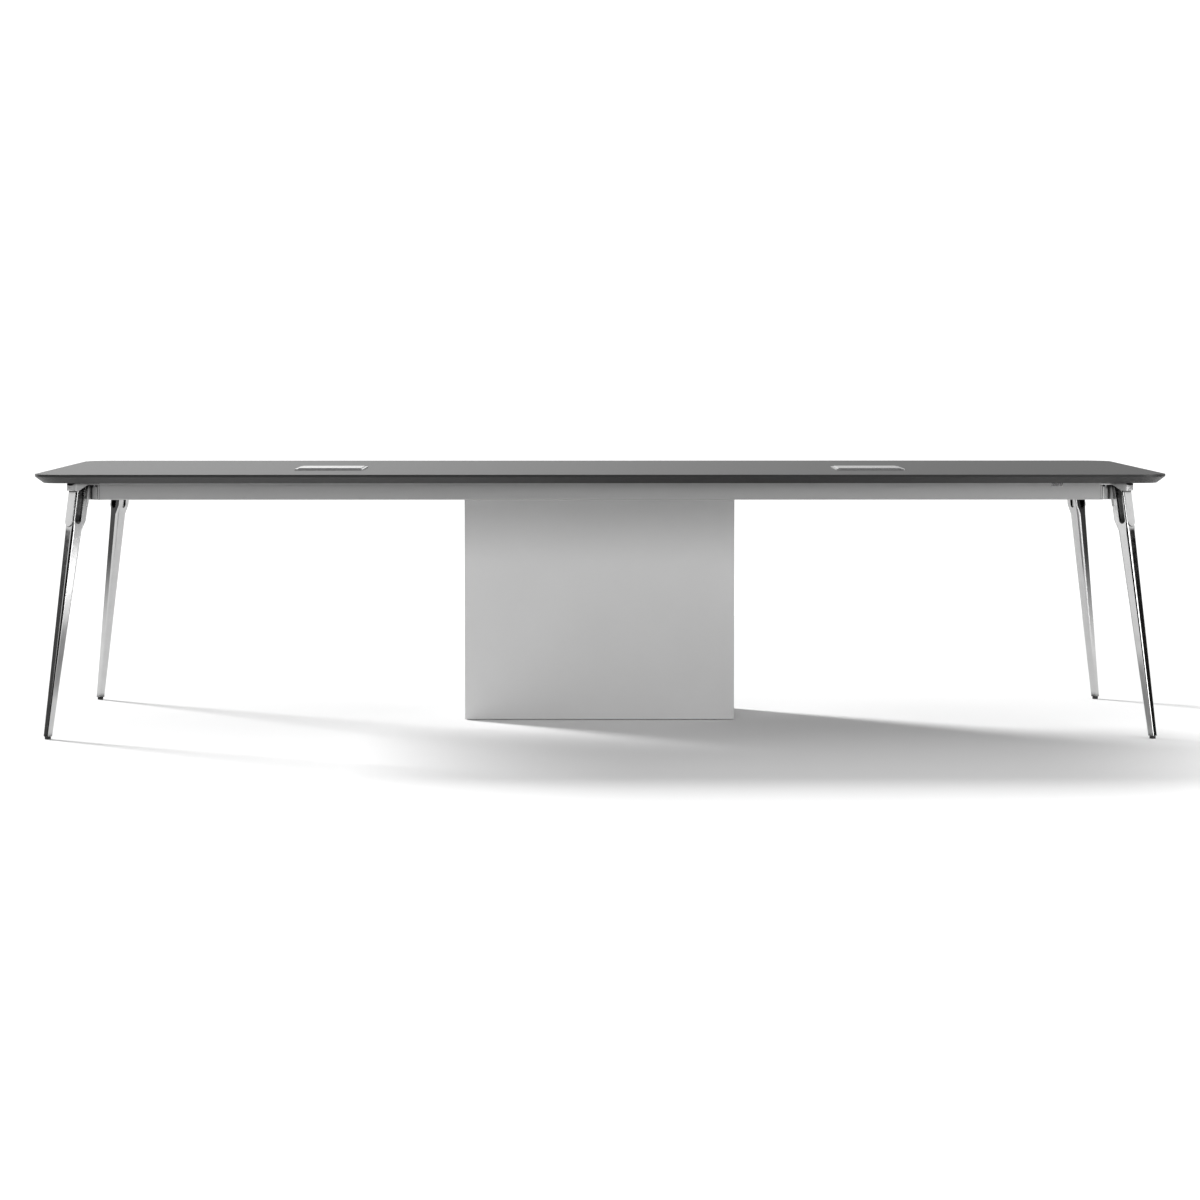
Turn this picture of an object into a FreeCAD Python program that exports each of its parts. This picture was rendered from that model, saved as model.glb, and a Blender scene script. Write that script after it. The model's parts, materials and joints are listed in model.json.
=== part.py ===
import FreeCAD, Part
import os
import re
import Sketcher

# Long meeting table on four splayed, forked cast legs, with a cable cabinet at its middle
# Frame: X along the table, Y from the front edge to the rear edge, Z up
# Origin: on the floor under the middle of the top; all sizes in millimetres

SIZES = {
    "Tabletop": {
        "top_length": 3200,
        "top_width": 1200,
        "table_height": 750,
        "top_thick": 25,
        "edge_face": 7,
        "edge_inset": 24,
        "top_corner": 80,
        "top_corner_under": 56,
    },
    "Rail frame": {
        "frame_length": 3000,
        "frame_width": 1000,
        "rail_height": 50,
        "rail_thick": 25,
        "rail_wall": 2,
        "rail_round": 3,
        "groove_drop": 7,
        "groove_width": 2,
        "groove_depth": 0.8,
        "corner_cut": 79,
        "spigot_length": 60,
        "spigot_gap": 0.2,
    },
    "Cross rails": {
        "cross_height": 30,
        "cross_width": 40,
        "cross_outer_place": 1050,
        "cleat_reach": 30,
        "cleat_drop": 18,
        "cleat_thick": 3,
    },
    "Corner casting": {
        "head_inset": 19,
        "nose_thick": 24,
        "nose_top_bevel": 9,
        "nose_low_bevel": 3,
        "plate_thick": 8,
        "plate_lip": 10,
        "plate_side": 1,
        "plate_round": 12,
        "ramp_length": 30,
        "fork_gap": 2,
        "arm_gap": 5,
        "arm_gap_depth": 8,
        "arm_gap_start": 8,
        "flare_start": 12,
        "flare_round": 10,
        "hub_back": 6,
        "hub_round": 7,
        "lug_drop": 69,
        "lug_width": 36,
        "lug_thick": 8,
    },
    "Cast leg": {
        "leg_splay": 118,
        "head_depth": 49,
        "head_width": 37,
        "head_round": 4,
        "head_drop": 109,
        "slot_width": 21,
        "slot_drop": 118,
        "outer_prong": 9,
        "tongue_proud": 3,
        "tongue_width": 32,
        "tongue_drop": 125,
        "tongue_root": 8,
        "shaft_offset": 3,
        "shaft_drop": 138,
        "shaft_size": 37,
        "shaft_round": 8,
        "foot_size": 19.5,
        "foot_round": 4,
        "recess_width": 10,
        "recess_drop": 77,
        "recess_length": 41,
        "recess_depth": 5,
    },
    "Levelling glide": {
        "glide_height": 8,
        "glide_radius": 8.8,
        "glide_chamfer": 1,
        "glide_gap": 0.3,
        "stud_radius": 3,
        "stud_gap": 0.05,
        "stud_root": 5,
        "stud_length": 17,
        "insert_radius": 4.2,
        "insert_length": 18,
    },
    "Fasteners": {
        "bolt_radius": 4,
        "bolt_head_radius": 6.5,
        "bolt_head_height": 8,
        "bolt_gap": 0.25,
        "thread_gap": 0.03,
        "bolt_spacing": 20,
        "bolt_drop": 35,
        "bolt_bite": 9,
        "screw_radius": 2.5,
        "screw_head_radius": 4.5,
        "screw_head_height": 2.5,
        "screw_bite": 14,
        "casting_screw_place": 22,
        "casting_screw_back": 38,
        "casting_screw_floor": 12,
        "rail_screw_place": 30,
        "rail_screw_bite": 8,
    },
    "Top brackets": {
        "bracket_leg": 26,
        "bracket_width": 30,
        "bracket_thick": 2.5,
        "bracket_hole": 16,
        "bracket_near": 230,
        "bracket_far": 1230,
    },
    "Rail clip": {
        "clip_inset": 203,
        "clip_width": 34,
        "clip_height": 12,
        "clip_thick": 1.5,
        "clip_spacing": 20,
    },
    "Cable cabinet": {
        "cabinet_width": 800,
        "cabinet_depth": 350,
        "cabinet_front": 56,
        "board": 15,
        "pad_thick": 2,
        "pad_radius": 12,
        "pad_inset": 28,
        "floor_hole_length": 300,
        "floor_hole_width": 120,
        "angle_leg": 22,
        "angle_width": 20,
        "angle_thick": 2.5,
    },
    "Cable channel": {
        "channel_width": 60,
        "channel_depth": 68,
        "channel_wall": 1.5,
        "channel_flange": 16,
        "channel_gap": 1,
        "channel_place": 46,
        "channel_end": 40,
        "channel_screw_inset": 30,
    },
    "Cable box": {
        "box_place": 788,
        "box_forward": 125,
        "box_length": 200,
        "box_width": 250,
        "rim_bar": 8,
        "rim_proud": 3,
        "collar_depth": 16,
        "collar_wall": 2,
        "cutout_gap": 1,
        "tray_top_drop": 9,
        "tray_depth": 82,
        "tray_wall": 1.2,
        "port_width": 50,
        "port_height": 25,
        "ledge_width": 4,
        "ledge_thick": 2,
        "ledge_gap": 0.3,
        "ledge_end": 24,
    },
    "Lid": {
        "lid_thick": 5,
        "lid_side_gap": 0.5,
        "lid_rear_gap": 5,
        "lid_front_gap": 40,
        "lid_round": 1,
        "pin_radius": 1.5,
        "pin_gap": 0.05,
        "pin_drop": 1,
        "pin_setback": 2,
        "barrel_radius": 3,
        "pin_bite": 1.5,
        "brush_depth": 9,
        "brush_gap": 1,
    },
    "Cutting": {
        "overrun": 5,
    },
}

doc = FreeCAD.newDocument("meeting_table")
sheet = doc.addObject("Spreadsheet::Sheet", "Sizes")
ALIASES = set()
SUBPARTS = []


def fill_sheet():
    row = 1
    for heading, sizes in SIZES.items():
        sheet.set(f"A{row}", heading)
        row += 1
        for alias, number in sizes.items():
            sheet.set(f"A{row}", alias)
            sheet.set(f"B{row}", str(number))
            sheet.setAlias(f"B{row}", alias)
            ALIASES.add(alias)
            row += 1
    doc.recompute()


fill_sheet()

# Heights and places that several pieces share, as expressions over the sheet
UNDERSIDE = "(table_height - top_thick)"
LEG_TOP = "(table_height - top_thick - nose_thick)"
PLATE_LOW = "(table_height - top_thick - plate_thick)"
RAIL_LOW = "(table_height - top_thick - rail_height)"
CROSS_LOW = "(table_height - top_thick - cross_height)"
FOOT_LEVEL = "(glide_height + glide_gap)"
RAIL_INSIDE = "(frame_width / 2 - rail_thick)"
CROSS_INNER = "(cabinet_width / 2 - cross_width / 2)"
LONG_RAIL = "(frame_length - 2 * corner_cut)"
END_RAIL = "(frame_width - 2 * corner_cut)"
CORNERS = {
    "front_left": (-1, -1, -135),
    "front_right": (1, -1, -45),
    "rear_left": (-1, 1, 135),
    "rear_right": (1, 1, 45),
}
SIDES = {"left": -1, "right": 1}


def cells(text):
    """Turn plain size names into references to the sheet's cells."""
    def reference(word):
        return "Sizes." + word.group() if word.group() in ALIASES else word.group()
    return re.sub(r"[a-z_][a-z_0-9]*", reference, text)


def size(text):
    """The number that an expression gives now."""
    return float(sheet.evalExpression(cells(text)))


def bind(item, **expressions):
    """Bind properties; a double underscore in a name stands for a dot."""
    for path, text in expressions.items():
        item.setExpression(path.replace("__", "."), cells(text))


def place(item, x="0", y="0", z="0", turn=0, axis=(0, 0, 1)):
    item.Placement.Rotation = FreeCAD.Rotation(FreeCAD.Vector(*axis), turn)
    bind(item, Placement__Base__x=x, Placement__Base__y=y, Placement__Base__z=z)


def finish(item, label):
    """Register an object as a sub-part under its own name."""
    item.Label = label
    SUBPARTS.append(item)
    return item


# Sketches and features


def new_body(name):
    return doc.addObject("PartDesign::Body", name)


def new_sketch(body, name, role, lift="0"):
    sketch = body.newObject("Sketcher::SketchObject", name)
    plane = next(item for item in body.Origin.OriginFeatures if item.Role == role)
    sketch.AttachmentSupport = [(plane, "")]
    sketch.MapMode = "FlatFace"
    bind(sketch, AttachmentOffset__Base__z=lift)
    return sketch


def pin_point(sketch, curve, end, x, y):
    """Hold one end of a curve at a place given by two expressions."""
    for kind, text in (("DistanceX", x), ("DistanceY", y)):
        index = sketch.addConstraint(Sketcher.Constraint(kind, -1, 1, curve, end, size(text)))
        sketch.setExpression(f"Constraints[{index}]", cells(text))


def outline(sketch, points):
    """Closed polygon whose corners are pairs of expressions."""
    spots = [FreeCAD.Vector(size(x), size(y), 0) for x, y in points]
    first = sketch.GeometryCount
    for here, there in zip(spots, spots[1:] + spots[:1]):
        sketch.addGeometry(Part.LineSegment(here, there), False)
    for index, (x, y) in enumerate(points):
        before = first + (index - 1) % len(points)
        sketch.addConstraint(Sketcher.Constraint("Coincident", before, 2, first + index, 1))
        pin_point(sketch, first + index, 1, x, y)


def rectangle(sketch, x, y, length, width):
    """Rectangle about a centre."""
    left, right = f"{x} - {length} / 2", f"{x} + {length} / 2"
    low, high = f"{y} - {width} / 2", f"{y} + {width} / 2"
    outline(sketch, [(left, low), (right, low), (right, high), (left, high)])


def circle(sketch, x, y, radius):
    ring = Part.Circle(FreeCAD.Vector(size(x), size(y), 0), FreeCAD.Vector(0, 0, 1), size(radius))
    curve = sketch.addGeometry(ring, False)
    pin_point(sketch, curve, 3, x, y)
    index = sketch.addConstraint(Sketcher.Constraint("Radius", curve, size(radius)))
    sketch.setExpression(f"Constraints[{index}]", cells(radius))


def rounded_rectangle(sketch, x, y, length, width, radius):
    """Rectangle about a centre with an arc at each corner."""
    across, up, bend = size(length) / 2, size(width) / 2, size(radius)
    middle = FreeCAD.Vector(size(x), size(y), 0)
    normal = FreeCAD.Vector(0, 0, 1)
    quarter = FreeCAD.Units.Quantity("90 deg").getValueAs("rad").Value
    first = sketch.GeometryCount
    centres = []
    for index, (side, rise) in enumerate(((1, 1), (-1, 1), (-1, -1), (1, -1))):
        hub = middle + FreeCAD.Vector(side * (across - bend), rise * (up - bend), 0)
        ring = Part.Circle(hub, normal, bend)
        sketch.addGeometry(Part.ArcOfCircle(ring, index * quarter, (index + 1) * quarter), False)
        centres.append((f"{x} + {side} * ({length} / 2 - {radius})", f"{y} + {rise} * ({width} / 2 - {radius})"))
    for index in range(4):
        start = sketch.getPoint(first + index, 2)
        end = sketch.getPoint(first + (index + 1) % 4, 1)
        line = sketch.addGeometry(Part.LineSegment(start, end), False)
        sketch.addConstraint(Sketcher.Constraint("Tangent", first + index, 2, line, 1))
        sketch.addConstraint(Sketcher.Constraint("Tangent", line, 2, first + (index + 1) % 4, 1))
    for index, (hub_x, hub_y) in enumerate(centres):
        pin_point(sketch, first + index, 3, hub_x, hub_y)
    bound = sketch.addConstraint(Sketcher.Constraint("Radius", first, bend))
    sketch.setExpression(f"Constraints[{bound}]", cells(radius))


def strap(sketch, half_width, low, high, round_top):
    """Upright strip about the sketch's own upright axis, with a half-round end below."""
    half, bottom, top = size(half_width), size(low), size(high)
    spring = f"{low} + {half_width}"
    crown = f"{high} - {half_width}" if round_top else high
    points = [(f"-({half_width})", crown), (f"-({half_width})", spring), (half_width, spring), (half_width, crown)]
    spots = [FreeCAD.Vector(size(x), size(y), 0) for x, y in points]
    dip = FreeCAD.Vector(0, bottom, 0)
    left = sketch.addGeometry(Part.LineSegment(spots[0], spots[1]), False)
    bowl = sketch.addGeometry(Part.Arc(spots[1], dip, spots[2]), False)
    right = sketch.addGeometry(Part.LineSegment(spots[2], spots[3]), False)
    pin_point(sketch, left, 1, *points[0])
    pin_point(sketch, left, 2, *points[1])
    pin_point(sketch, right, 1, *points[2])
    pin_point(sketch, right, 2, *points[3])
    sketch.addConstraint(Sketcher.Constraint("Coincident", left, 2, bowl, 1))
    sketch.addConstraint(Sketcher.Constraint("Coincident", right, 1, bowl, 2))
    ends = [bowl]
    if round_top:
        cap = sketch.addGeometry(Part.Arc(spots[3], FreeCAD.Vector(0, top, 0), spots[0]), False)
        sketch.addConstraint(Sketcher.Constraint("Coincident", right, 2, cap, 1))
        sketch.addConstraint(Sketcher.Constraint("Coincident", left, 1, cap, 2))
        ends.append(cap)
    else:
        sketch.addGeometry(Part.LineSegment(spots[3], spots[0]), False)
        lid = sketch.GeometryCount - 1
        sketch.addConstraint(Sketcher.Constraint("Coincident", right, 2, lid, 1))
        sketch.addConstraint(Sketcher.Constraint("Coincident", left, 1, lid, 2))
    for arc, height in zip(ends, (spring, crown)):
        index = sketch.addConstraint(Sketcher.Constraint("DistanceY", -1, 1, arc, 3, size(height)))
        sketch.setExpression(f"Constraints[{index}]", cells(height))


def pad(body, sketch, length, both_ways=False, back=None):
    """Raise a sketch by a length, evenly both ways or with its own length backwards."""
    feature = body.newObject("PartDesign::Pad", "Pad")
    feature.Profile = sketch
    feature.Midplane = both_ways
    bind(feature, Length=length)
    if back:
        feature.SideType = "Two sides"
        bind(feature, Length2=back)
    doc.recompute()
    return feature


def pocket(body, sketch, depth=None, reverse=False, both_ways=False):
    """Cut inwards by a depth, or through everything both ways."""
    feature = body.newObject("PartDesign::Pocket", "Pocket")
    feature.Profile = sketch
    feature.Reversed = reverse
    feature.Midplane = both_ways or not depth
    if depth:
        bind(feature, Length=depth)
    else:
        feature.Type = "ThroughAll"
    before = feature.BaseFeature.Shape.Volume
    doc.recompute()
    if not before > feature.Shape.Volume > 0:
        raise ValueError(f"{body.Name}: the pocket from {sketch.Name} cuts nothing")
    return feature


def loft(body, sketches):
    feature = body.newObject("PartDesign::AdditiveLoft", "Loft")
    feature.Profile = sketches[0]
    feature.Sections = sketches[1:]
    feature.Ruled = True
    doc.recompute()
    return feature


def soften(body, radius, wanted):
    """Fillet the edges of a body's last feature that a test picks."""
    last = body.Tip
    names = [f"Edge{index}" for index, edge in enumerate(last.Shape.Edges, 1) if wanted(edge)]
    feature = body.newObject("PartDesign::Fillet", "Fillet")
    feature.Base = (last, names)
    bind(feature, Radius=radius)
    doc.recompute()
    return feature


NARROW_SHARE = 0.01


def upright(edge):
    box = edge.BoundBox
    return box.XLength + box.YLength < box.ZLength * NARROW_SHARE


# Part primitives


def block(name, length, width, height, x, y, z):
    """Box between a low corner and its three sizes, all expressions."""
    box = doc.addObject("Part::Box", name)
    bind(box, Length=length, Width=width, Height=height)
    place(box, x, y, z)
    return box


def rod(name, radius, length, x="0", y="0", z="0", turn=0, axis=(0, 1, 0)):
    bar = doc.addObject("Part::Cylinder", name)
    bind(bar, Radius=radius, Height=length)
    place(bar, x, y, z, turn, axis)
    return bar


def cut(name, base, tools):
    """Take a list of tools away from a base, one after the other."""
    for index, tool in enumerate(tools):
        result = doc.addObject("Part::Cut", f"{name}_cut_{index}")
        result.Base = base
        result.Tool = tool
        base = result
    return base


def fuse(name, pieces):
    result = doc.addObject("Part::MultiFuse", name)
    result.Shapes = pieces
    result.Refine = True
    return result


def group(label, master, spots):
    """Linked copies of one fastener: each spot is three expressions and a rotation."""
    links = []
    for index, (x, y, z, rotation) in enumerate(spots):
        link = doc.addObject("App::Link", f"{label}_{index}")
        link.LinkedObject = master
        link.Placement.Rotation = rotation
        bind(link, Placement__Base__x=x, Placement__Base__y=y, Placement__Base__z=z)
        links.append(link)
    item = doc.addObject("Part::Compound", label)
    item.Links = links
    return finish(item, label)


def facing(x, y, z):
    """Rotation that turns a fastener's own +Z to a direction."""
    return FreeCAD.Rotation(FreeCAD.Vector(0, 0, 1), FreeCAD.Vector(x, y, z))


def turned(angle):
    return FreeCAD.Rotation(FreeCAD.Vector(0, 0, 1), angle)


def corner_place(corner, x, y="0"):
    """A place in one corner's own frame, where x runs outwards on the diagonal."""
    side_x, side_y, _ = CORNERS[corner]
    return (f"({side_x} * {CORNER_X} + ({side_x} * ({x}) - {side_y} * ({y})) / sqrt(2))",
            f"({side_y} * {CORNER_Y} + ({side_y} * ({x}) + {side_x} * ({y})) / sqrt(2))")


def place_in_corner(item, corner, x="0", z="0"):
    away, across = corner_place(corner, x)
    place(item, away, across, z, CORNERS[corner][2])


CORNER_X = "(frame_length / 2 - head_inset)"
CORNER_Y = "(frame_width / 2 - head_inset)"


def leg_axis(level):
    """How far out the leaning leg's centre line is at a height."""
    return f"(leg_splay * (1 - ({level}) / {LEG_TOP}))"


# Tabletop


BRACKET_ACROSS = f"({RAIL_INSIDE} - bracket_hole)"
BRACKET_PLACES = ["-bracket_far", "-bracket_near", "bracket_near", "bracket_far"]
CHANNEL_START = "(cabinet_width / 2 + channel_gap)"
CHANNEL_END = "(box_place + channel_end)"
CHANNEL_LENGTH = f"({CHANNEL_END} - {CHANNEL_START})"
CHANNEL_SCREW_REACH = "(channel_width / 2 + channel_flange / 2)"


def channel_screw_places(side):
    """One screw near each end of a channel, on opposite flanges."""
    for x, across in ((f"{CHANNEL_START} + channel_screw_inset", -1), (f"{CHANNEL_END} - channel_screw_inset", 1)):
        yield f"{side} * ({x})", f"{across} * {CHANNEL_SCREW_REACH}"


def top_screw_places():
    """Where wood screws go up into the top: brackets, then channel flanges."""
    for x in BRACKET_PLACES:
        for side in (-1, 1):
            yield x, f"{side} * {BRACKET_ACROSS}", f"{UNDERSIDE} - bracket_thick"
    for side in SIDES.values():
        for x, y in channel_screw_places(side):
            yield x, f"channel_place + {y}", f"{UNDERSIDE} - channel_wall"


def casting_screw_places():
    """Where each casting's two wood screws go up, in the corner's own frame."""
    for across in (-1, 1):
        yield "-casting_screw_back", f"{across} * casting_screw_place"


def make_tabletop():
    body = new_body("Tabletop")
    under = new_sketch(body, "Underside", "XY_Plane", UNDERSIDE)
    rounded_rectangle(under, "0", "0", "(top_length - 2 * edge_inset)", "(top_width - 2 * edge_inset)",
                      "top_corner_under")
    edge = new_sketch(body, "EdgeLine", "XY_Plane", "table_height - edge_face")
    rounded_rectangle(edge, "0", "0", "top_length", "top_width", "top_corner")
    loft(body, [under, edge])
    face = new_sketch(body, "EdgeFace", "XY_Plane", "table_height - edge_face")
    rounded_rectangle(face, "0", "0", "top_length", "top_width", "top_corner")
    pad(body, face, "edge_face")
    hollow = new_sketch(body, "Cutouts", "XY_Plane", "table_height")
    for side in SIDES.values():
        rectangle(hollow, f"{side} * box_place", "-box_forward",
                  "(box_length - 2 * rim_bar + 2 * collar_wall + 2 * cutout_gap)",
                  "(box_width - 2 * rim_bar + 2 * collar_wall + 2 * cutout_gap)")
    pocket(body, hollow)
    pilots = new_sketch(body, "PilotHoles", "XY_Plane", UNDERSIDE)
    for x, y, _ in top_screw_places():
        circle(pilots, x, y, "screw_radius")
    for corner in CORNERS:
        for x, y in casting_screw_places():
            circle(pilots, *corner_place(corner, x, y), "screw_radius")
    pocket(body, pilots, "screw_bite", reverse=True)
    finish(body, "tabletop")


# Rails


def make_rail(label, length, x, y, turn):
    """Rectangular tube along its own X, its grooved outer face towards its own -Y."""
    body = new_body(label)
    section = new_sketch(body, "Section", "YZ_Plane")
    half, tall = "rail_thick / 2", "rail_height / 2"
    groove_top = "rail_height / 2 - groove_drop"
    groove_low = "rail_height / 2 - groove_drop - groove_width"
    inward = "-rail_thick / 2 + groove_depth"
    outline(section, [(f"-{half}", f"-{tall}"), (half, f"-{tall}"), (half, tall), (f"-{half}", tall),
                      (f"-{half}", groove_top), (inward, groove_top), (inward, groove_low), (f"-{half}", groove_low)])
    rectangle(section, "0", "0", "(rail_thick - 2 * rail_wall)", "(rail_height - 2 * rail_wall)")
    pad(body, section, length, both_ways=True)
    across, up = size(half), size(tall)

    def outer_corner(edge):
        spot = edge.CenterOfMass
        return abs(abs(spot.y) - across) < across * NARROW_SHARE and abs(abs(spot.z) - up) < up * NARROW_SHARE \
            and edge.BoundBox.XLength > up

    soften(body, "rail_round", outer_corner)
    holes = new_sketch(body, "ScrewHoles", "XZ_Plane", "0")
    for side in (-1, 1):
        circle(holes, f"{side} * ({length} / 2 - rail_screw_place)", "0", "screw_radius + bolt_gap")
    pocket(body, holes, "rail_thick")
    place(body, x, y, f"{RAIL_LOW} + rail_height / 2", turn)
    return finish(body, label)


def make_rails():
    make_rail("front_rail", LONG_RAIL, "0", "-(frame_width / 2 - rail_thick / 2)", 0)
    make_rail("rear_rail", LONG_RAIL, "0", "frame_width / 2 - rail_thick / 2", 180)
    make_rail("left_end_rail", END_RAIL, "-(frame_length / 2 - rail_thick / 2)", "0", -90)
    make_rail("right_end_rail", END_RAIL, "frame_length / 2 - rail_thick / 2", "0", 90)


def make_cross_rail(label, x):
    body = new_body(label)
    section = new_sketch(body, "Section", "XZ_Plane")
    rectangle(section, "0", "0", "cross_width", "cross_height")
    rectangle(section, "0", "0", "(cross_width - 2 * rail_wall)", "(cross_height - 2 * rail_wall)")
    pad(body, section, f"2 * {RAIL_INSIDE}", both_ways=True)
    across, up = size("cross_width / 2"), size("cross_height / 2")

    def outer_corner(edge):
        spot = edge.CenterOfMass
        return abs(abs(spot.x) - across) < across * NARROW_SHARE and abs(abs(spot.z) - up) < up * NARROW_SHARE

    soften(body, "rail_round", outer_corner)
    place(body, x, "0", f"{CROSS_LOW} + cross_height / 2")
    return finish(body, label)


def make_cross_rails():
    for name, side in SIDES.items():
        make_cross_rail(f"inner_cross_rail_{name}", f"{side} * {CROSS_INNER}")
        make_cross_rail(f"outer_cross_rail_{name}", f"{side} * cross_outer_place")


def make_cleats():
    """Angle cleats that carry the cross rails' ends on the long rails."""
    body = new_body("Cleat")
    profile = new_sketch(body, "Profile", "YZ_Plane")
    outline(profile, [("0", "0"), ("-cleat_reach", "0"), ("-cleat_reach", "-cleat_thick"),
                      ("-cleat_thick", "-cleat_thick"), ("-cleat_thick", "-cleat_drop"), ("0", "-cleat_drop")])
    pad(body, profile, "cross_width", both_ways=True)
    spots = []
    for x in (f"-{CROSS_INNER}", CROSS_INNER, "-cross_outer_place", "cross_outer_place"):
        for side, turn in ((1, 0), (-1, 180)):
            spots.append((x, f"{side} * {RAIL_INSIDE}", CROSS_LOW, turned(turn)))
    group("cross_rail_cleats", body, spots)


# Corner castings


RAIL_END_X = "((2 * head_inset - corner_cut) / sqrt(2))"
RAIL_END_Y = "(corner_cut / sqrt(2))"
RAIL_BACK_X = "((2 * head_inset - corner_cut - rail_thick) / sqrt(2))"
RAIL_BACK_Y = "((corner_cut - rail_thick) / sqrt(2))"
HUB_BACK_X = f"({RAIL_BACK_X} - hub_back)"
HUB_BACK_Y = f"({RAIL_BACK_Y} - hub_back)"
LUG_LOW = f"({UNDERSIDE} - lug_drop)"
PRONG_FACE = "(-head_depth / 2)"
RAMP_FOOT = "(head_depth / 2 - outer_prong)"
RAMP_TOP = f"({RAMP_FOOT} - ramp_length)"
LUG_FACE = "(-head_depth / 2 + lug_thick)"


def spigot_sketch(body, name, across, turn):
    """Upright sketch through the middle of a rail's end, turned about that point."""
    sketch = new_sketch(body, name, "YZ_Plane")
    sketch.AttachmentOffset = FreeCAD.Placement(FreeCAD.Vector(), FreeCAD.Rotation(FreeCAD.Vector(0, 1, 0), turn))
    bind(sketch, AttachmentOffset__Base__x=f"{across} * ({RAIL_END_Y} + {RAIL_BACK_Y}) / 2",
         AttachmentOffset__Base__y=f"{RAIL_LOW} + rail_height / 2",
         AttachmentOffset__Base__z=f"({RAIL_END_X} + {RAIL_BACK_X}) / 2")
    return sketch


def make_casting(corner):
    """Cast corner: a plate over the leg's fork, a hub between the rail ends and a lug behind the inner prong."""
    body = new_body(f"corner_casting_{corner}")
    plan = new_sketch(body, "Plan", "XY_Plane", LUG_LOW)
    reach = "head_depth / 2 + plate_lip"
    half = "head_width / 2 + plate_side"
    half_outline = [(reach, half), ("-flare_start", half), (RAIL_END_X, RAIL_END_Y), (RAIL_BACK_X, RAIL_BACK_Y),
                    (HUB_BACK_X, HUB_BACK_Y)]
    mirrored = [(x, f"-({y})") for x, y in reversed(half_outline)]
    outline(plan, half_outline + mirrored)
    pad(body, plan, f"{UNDERSIDE} - {LUG_LOW}")
    end, flare = size(reach), size("-flare_start")
    soften(body, "plate_round", lambda edge: upright(edge) and abs(edge.CenterOfMass.x - end) < end * NARROW_SHARE)
    soften(body, "flare_round", lambda edge: upright(edge) and abs(edge.CenterOfMass.x - flare) < end * NARROW_SHARE)
    rail_x = size(RAIL_END_X)
    side = new_sketch(body, "UnderPlate", "XZ_Plane")
    outline(side, [
        (f"{reach} + overrun", f"{LEG_TOP} + nose_low_bevel + overrun"),
        (f"{reach} - nose_low_bevel", LEG_TOP),
        (RAMP_FOOT, LEG_TOP),
        (RAMP_TOP, PLATE_LOW),
        (f"{leg_axis(PLATE_LOW)} + {LUG_FACE}", PLATE_LOW),
        (f"{leg_axis(LUG_LOW)} + {LUG_FACE}", LUG_LOW),
        (f"{leg_axis(LUG_LOW)} + {PRONG_FACE}", LUG_LOW),
        (f"{leg_axis(RAIL_LOW)} + {PRONG_FACE}", RAIL_LOW),
        (f"{HUB_BACK_X} - overrun", RAIL_LOW),
        (f"{HUB_BACK_X} - overrun", f"{LUG_LOW} - overrun"),
        (f"{reach} + overrun", f"{LUG_LOW} - overrun"),
    ])
    outline(side, [
        (f"{reach} - nose_top_bevel", UNDERSIDE),
        (f"{reach} + overrun", UNDERSIDE),
        (f"{reach} + overrun", f"{UNDERSIDE} - nose_top_bevel - overrun"),
    ])
    pocket(body, side)
    plate_low = size(PLATE_LOW)
    levels = (("BesideLug", PLATE_LOW, RAIL_END_X, RAMP_TOP), ("BesideProngs", LEG_TOP, RAMP_TOP, reach))
    for name, level, near, far in levels:
        cheeks = new_sketch(body, name, "XY_Plane", level)
        for across in (1, -1):
            inner = f"{across} * lug_width / 2"
            outer = f"{across} * ({RAIL_END_Y} + overrun)"
            outline(cheeks, [(near, inner), (far, inner), (far, outer), (near, outer)])
        pocket(body, cheeks, f"{level} - {LUG_LOW} + overrun")
    soften(body, "hub_round", lambda edge: upright(edge) and abs(edge.CenterOfMass.x - rail_x) < end * NARROW_SHARE
           and abs(edge.CenterOfMass.y) > end and edge.CenterOfMass.z < plate_low)
    arm_gaps = new_sketch(body, "ArmGaps", "XY_Plane", PLATE_LOW)
    gap_reach = f"({RAIL_END_Y} - arm_gap_start - lug_width / 2)"
    for across in (1, -1):
        rectangle(arm_gaps, RAIL_END_X, f"{across} * ({gap_reach} + lug_width) / 2", "2 * arm_gap_depth", gap_reach)
    pocket(body, arm_gaps, "arm_gap")
    bolts = new_sketch(body, "BoltHoles", "YZ_Plane", "0")
    for across in (-1, 1):
        circle(bolts, f"{across} * bolt_spacing / 2", BOLT_LEVEL, "bolt_radius + bolt_gap")
    pocket(body, bolts)
    wells = new_sketch(body, "ScrewWells", "XY_Plane", RAIL_LOW)
    shanks = new_sketch(body, "ScrewHoles", "XY_Plane", RAIL_LOW)
    for x, y in casting_screw_places():
        circle(wells, x, y, "screw_head_radius + bolt_gap")
        circle(shanks, x, y, "screw_radius + bolt_gap")
    pocket(body, wells, "rail_height - casting_screw_floor", reverse=True)
    pocket(body, shanks)
    for across in (1, -1):
        spigot = spigot_sketch(body, "Spigot", across, across * 135)
        rectangle(spigot, "0", "0", "(rail_thick - 2 * rail_wall - 2 * spigot_gap)",
                  "(rail_height - 2 * rail_wall - 2 * spigot_gap)")
        pad(body, spigot, "spigot_length", back="overrun")
        thread = spigot_sketch(body, "SpigotThread", across, across * 45)
        circle(thread, f"{across} * rail_screw_place", "0", "screw_radius")
        pocket(body, thread, "rail_thick", both_ways=True)
    place_in_corner(body, corner)
    return finish(body, f"corner_casting_{corner}")


# Legs


def lean_plane(sketch, at_floor, upward):
    """Tilt an upright sketch plane so that it runs along the leaning leg."""
    sketch.AttachmentOffset = FreeCAD.Placement(
        FreeCAD.Vector(), FreeCAD.Rotation(FreeCAD.Vector(1, 0, 0), upward * size(LEAN)))
    bind(sketch, AttachmentOffset__Base__z=at_floor)


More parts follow.
